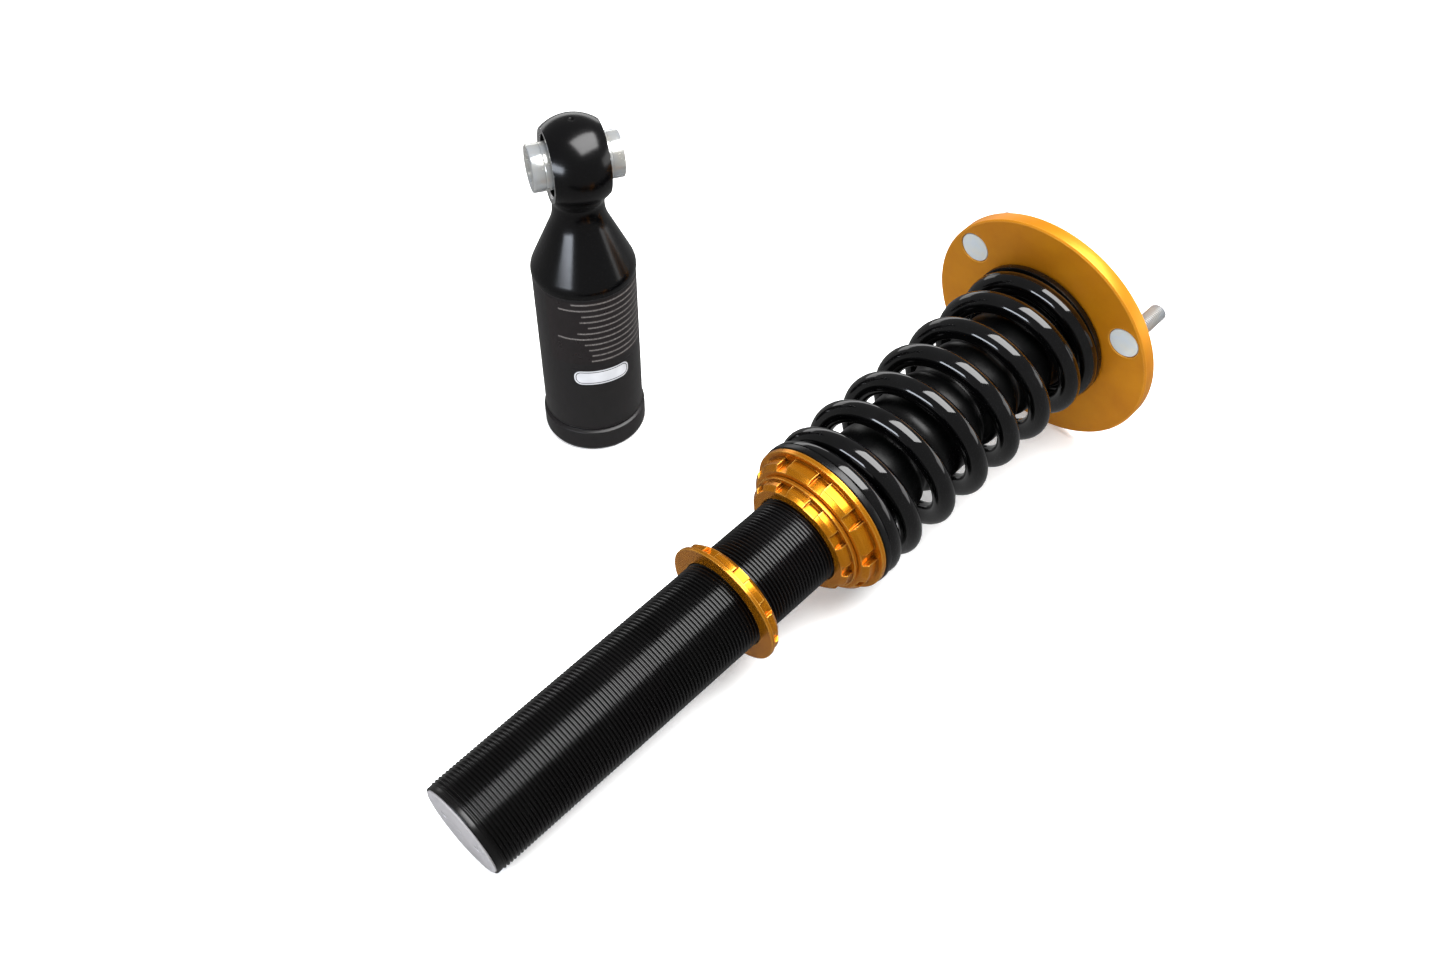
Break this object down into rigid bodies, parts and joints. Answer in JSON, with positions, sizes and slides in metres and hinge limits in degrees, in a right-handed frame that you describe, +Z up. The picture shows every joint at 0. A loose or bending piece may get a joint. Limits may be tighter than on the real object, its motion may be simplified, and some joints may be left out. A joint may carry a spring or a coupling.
{
  "type": "coilover damper",
  "caption": "Coilover damper with threaded body, adjustable spring perch, coil spring, dust boot and round top mount, with its unscrewed lower mount and spherical eye standing beside it.",
  "frame": {"origin": "on the floor, under the middle of the bounding box of the damper and its lower mount together", "axes": "+X along the floor from the damper's lower end to its top plate (the damper's own axis rises 6.24 degrees from +X, in the X-Z plane), +Y across to the lower mount, +Z up from the floor"},
  "size_m": [0.4586, 0.2782, 0.2029],
  "materials": {
    "tube_black": "black hard-anodised, fine machined thread",
    "gold": "gold anodised, satin faces and bright machined edges",
    "spring_black": "gloss black powder coat",
    "rubber": "matte moulded",
    "mount_black": "black satin anodised, turned",
    "zinc": "bright zinc plate, turned",
    "steel": "ground",
    "bare_aluminium": "bare, faced on a lathe",
    "foam": "microcellular foam",
    "brass": "machined"
  },
  "bodies": {
    "top_mount": {"top_plate": "gold", "mounting_stud_1": "zinc", "mounting_stud_2": "zinc", "mounting_stud_3": "zinc", "top_bearing_race": "steel", "top_circlip": "steel"},
    "rod": {"piston_rod": "steel", "damping_piston": "bare_aluminium", "piston_band": "brass", "rebound_shims": "steel", "compression_shims": "steel", "valve_backing_washer": "steel", "piston_nut": "steel", "top_out_bumper": "rubber", "bump_stop": "foam", "upper_spring_seat": "tube_black", "top_ball": "zinc", "rod_top_spacer": "zinc", "rod_top_nut": "zinc", "dust_boot": "rubber"},
    "adjuster": {"adjuster_knob": "bare_aluminium"},
    "needle": {"metering_needle": "brass"},
    "damper_body": {"damper_tube": "tube_black", "base_cap": "bare_aluminium", "base_cap_o_ring": "rubber", "gland_nut": "bare_aluminium", "gland_o_ring": "rubber", "rod_guide_bush": "brass", "rod_seal": "rubber", "wiper_seal": "rubber"},
    "gas_piston": {"floating_piston": "bare_aluminium", "floating_piston_o_ring": "rubber"},
    "perch": {"spring_isolator": "rubber", "coil_spring": "spring_black"},
    "perch_collar": {"perch_collar": "gold"},
    "perch_lock_ring": {"perch_lock_ring": "gold"},
    "lower_lock_ring": {"lower_lock_ring": "gold"},
    "lower_mount": {"lower_mount_body": "mount_black", "lower_bearing_race": "steel", "lower_circlip_1": "steel", "lower_circlip_2": "steel"},
    "eye_ball": {"lower_ball": "zinc"},
    "eye_sleeves": {"lower_sleeve_1": "zinc", "lower_sleeve_2": "zinc"}
  },
  "joints": [
    {"name": "top_swivel", "type": "hinge", "parent": "top_mount", "child": "rod", "pos_m": [0.19289, -0.06905, 0.07037], "axis": [0.9941, 0, 0.1087], "continuous": true},
    {"name": "adjuster_turn", "type": "hinge", "parent": "rod", "child": "adjuster", "pos_m": [0.21655, -0.06905, 0.07295], "axis": [-0.9941, 0, -0.1087], "range_deg": [0, 725]},
    {"name": "needle_slide", "type": "slide", "parent": "rod", "child": "needle", "axis": [-0.9941, 0, -0.1087], "range_m": [0, 0.002]},
    {"name": "damper_stroke", "type": "slide", "parent": "rod", "child": "damper_body", "axis": [0.9941, 0, 0.1087], "range_m": [0, 0.06], "deforming": ["coil_spring", "dust_boot"]},
    {"name": "gas_piston_slide", "type": "slide", "parent": "damper_body", "child": "gas_piston", "axis": [-0.9941, 0, -0.1087], "range_m": [0, 0.0052]},
    {"name": "perch_height", "type": "slide", "parent": "damper_body", "child": "perch", "axis": [0.9941, 0, 0.1087], "range_m": [-0.035, 0]},
    {"name": "collar_turn", "type": "hinge", "parent": "perch", "child": "perch_collar", "pos_m": [-0.00284, -0.06905, 0.04897], "axis": [0.9941, 0, 0.1087], "continuous": true},
    {"name": "lock_ring_turn", "type": "hinge", "parent": "perch", "child": "perch_lock_ring", "pos_m": [-0.01109, -0.06905, 0.04807], "axis": [0.9941, 0, 0.1087], "continuous": true},
    {"name": "lower_ring_height", "type": "slide", "parent": "damper_body", "child": "lower_lock_ring", "axis": [0.9941, 0, 0.1087], "range_m": [-0.1, 0.008]},
    {"name": "lower_mount_lift", "type": "slide", "parent": "top_mount", "child": "lower_mount", "axis": [0, 0, 1], "range_m": [0, 0.12]},
    {"name": "eye_tilt", "type": "hinge", "parent": "lower_mount", "child": "eye_ball", "pos_m": [0.00709, 0.10955, 0.1788], "axis": [0, 0, 1], "range_deg": [-8, 8]},
    {"name": "sleeve_turn", "type": "hinge", "parent": "eye_ball", "child": "eye_sleeves", "pos_m": [0.00709, 0.10955, 0.1788], "axis": [0.8957, -0.4446, 0], "continuous": true}
  ],
  "couplings": [
    {"joint": "adjuster_turn", "follows": "needle_slide", "rad_per_m": 6283.2},
    {"joint": "gas_piston_slide", "follows": "damper_stroke", "ratio": 0.0845},
    {"joint": "collar_turn", "follows": "perch_height", "rad_per_m": 3141.6},
    {"joint": "lock_ring_turn", "follows": "perch_height", "rad_per_m": 3141.6}
  ]
}
